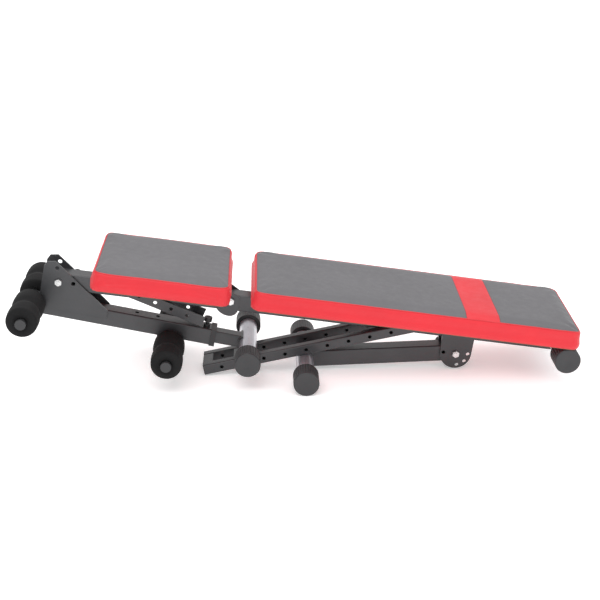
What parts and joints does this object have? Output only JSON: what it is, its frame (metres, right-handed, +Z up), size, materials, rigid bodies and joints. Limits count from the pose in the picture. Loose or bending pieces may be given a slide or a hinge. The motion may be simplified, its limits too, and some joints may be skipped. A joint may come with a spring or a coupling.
{
  "type": "adjustable weight bench",
  "caption": "Folding adjustable weight bench lying folded flat: padded seat and back rest on a steel tube frame with folding legs, a drilled back prop and foam leg rollers.",
  "frame": {"origin": "middle of the folded bench's bounding box, on the floor", "axes": "+X towards the head end, +Y across to the far side, +Z up"},
  "size_m": [1.308, 0.324, 0.3075],
  "materials": {
    "frame": "satin powder coat",
    "silver": "silver painted tube",
    "zinc": "zinc plated",
    "plastic": "moulded",
    "foam": "closed-cell foam",
    "board": "raw",
    "cover": "vinyl cover over foam"
  },
  "bodies": {
    "main_frame": {"main_beam": "frame", "beam_plug": "plastic", "cross_tube": "silver", "cross_cap_near": "plastic", "cross_cap_far": "plastic", "leg_plate_near": "frame", "leg_plate_far": "frame", "hinge_bracket": "frame", "back_hinge_bolt": "zinc", "leg_pivot_bolt": "zinc", "post_pivot_bolt": "zinc", "seat_hinge_bolt": "zinc"},
    "leg_lock": {"leg_lock_pin": "plastic"},
    "back_lock": {"back_lock_pin": "plastic"},
    "rear_leg": {"leg_tube": "frame", "rear_foot_tube": "silver", "rear_cap_near": "plastic", "rear_cap_far": "plastic"},
    "front_post": {"post_tube": "frame", "post_sleeve": "plastic", "upper_axle": "frame", "lower_axle": "frame", "post_plate_near": "frame", "post_plate_far": "frame", "upper_axle_plug_near": "plastic", "upper_axle_plug_far": "plastic", "lower_axle_plug_near": "plastic", "lower_axle_plug_far": "plastic"},
    "post_pull": {"post_pull_pin": "plastic"},
    "front_lock": {"front_lock_pin": "plastic"},
    "front_foot": {"inner_tube": "frame", "foot_saddle": "frame", "front_foot_tube": "silver", "front_cap_near": "plastic", "front_cap_far": "plastic"},
    "roller_upper_near": {"upper_roller_near": "foam"},
    "roller_upper_far": {"upper_roller_far": "foam"},
    "roller_lower_near": {"lower_roller_near": "foam"},
    "roller_lower_far": {"lower_roller_far": "foam"},
    "seat": {"seat_board": "board", "seat_cushion": "cover", "seat_plate_near": "frame", "seat_plate_far": "frame", "seat_prop_bolt_near": "zinc", "seat_prop_bolt_far": "zinc"},
    "seat_pull": {"seat_pull_pin": "plastic"},
    "seat_brace": {"seat_prop": "frame"},
    "backrest": {"back_board": "board", "back_cushion": "cover", "back_strap_near": "frame", "back_strap_far": "frame", "prop_bracket_near": "frame", "prop_bracket_far": "frame", "prop_bolt_near": "zinc", "prop_bolt_far": "zinc"},
    "back_prop": {"prop_rail_near": "frame", "prop_rail_far": "frame", "prop_end_plate": "frame", "prop_cross_plate": "frame"}
  },
  "joints": [
    {"name": "front_post_fold", "type": "hinge", "parent": "main_frame", "child": "front_post", "pos_m": [-0.54952, 0, 0.23688], "axis": [0, 1, 0], "range_deg": [0, 99]},
    {"name": "rear_leg_fold", "type": "hinge", "parent": "main_frame", "child": "rear_leg", "pos_m": [0.37951, 0, 0.0419], "axis": [0, -1, 0], "range_deg": [0, 108]},
    {"name": "backrest_incline", "type": "hinge", "parent": "main_frame", "child": "backrest", "pos_m": [-0.0981, 0, 0.19994], "axis": [0, -1, 0], "range_deg": [0, 45]},
    {"name": "prop_swing", "type": "hinge", "parent": "backrest", "child": "back_prop", "pos_m": [0.30671, 0, 0.12435], "axis": [0, -1, 0], "range_deg": [0, 89.2]},
    {"name": "seat_incline", "type": "hinge", "parent": "main_frame", "child": "seat", "pos_m": [-0.15403, 0, 0.18389], "axis": [0, -1, 0], "range_deg": [-20, 0]},
    {"name": "seat_prop_swing", "type": "hinge", "parent": "seat", "child": "seat_brace", "pos_m": [-0.41989, 0, 0.22493], "axis": [0, -1, 0], "range_deg": [-1.5, 8]},
    {"name": "post_slide", "type": "slide", "parent": "front_post", "child": "front_foot", "axis": [-0.9767, 0, 0.2146], "range_m": [0, 0.05]},
    {"name": "post_pull", "type": "slide", "parent": "front_post", "child": "post_pull", "axis": [0.2146, 0, 0.9767], "range_m": [-0.006, 0]},
    {"name": "front_lock_travel", "type": "slide", "parent": "front_post", "child": "front_lock", "axis": [0, 1, 0], "range_m": [-0.012, 0]},
    {"name": "leg_lock_travel", "type": "slide", "parent": "main_frame", "child": "leg_lock", "axis": [0, 1, 0], "range_m": [-0.012, 0]},
    {"name": "seat_pull", "type": "slide", "parent": "seat", "child": "seat_pull", "axis": [0, 1, 0], "range_m": [0, 0.012]},
    {"name": "back_lock_travel", "type": "slide", "parent": "main_frame", "child": "back_lock", "axis": [0, 1, 0], "range_m": [0, 0.045]},
    {"name": "upper_roller_near_spin", "type": "hinge", "parent": "front_post", "child": "roller_upper_near", "pos_m": [-0.61707, -0.089, 0.18855], "axis": [0, 1, 0], "continuous": true},
    {"name": "upper_roller_far_spin", "type": "hinge", "parent": "front_post", "child": "roller_upper_far", "pos_m": [-0.61707, 0.089, 0.18855], "axis": [0, 1, 0], "continuous": true},
    {"name": "lower_roller_near_spin", "type": "hinge", "parent": "front_post", "child": "roller_lower_near", "pos_m": [-0.29978, -0.089, 0.07994], "axis": [0, 1, 0], "continuous": true},
    {"name": "lower_roller_far_spin", "type": "hinge", "parent": "front_post", "child": "roller_lower_far", "pos_m": [-0.29978, 0.089, 0.07994], "axis": [0, 1, 0], "continuous": true}
  ],
  "couplings": [
    {"joint": "rear_leg_fold", "follows": "front_post_fold", "ratio": 1.088},
    {"joint": "prop_swing", "follows": "front_post_fold", "ratio": 0.9}
  ]
}
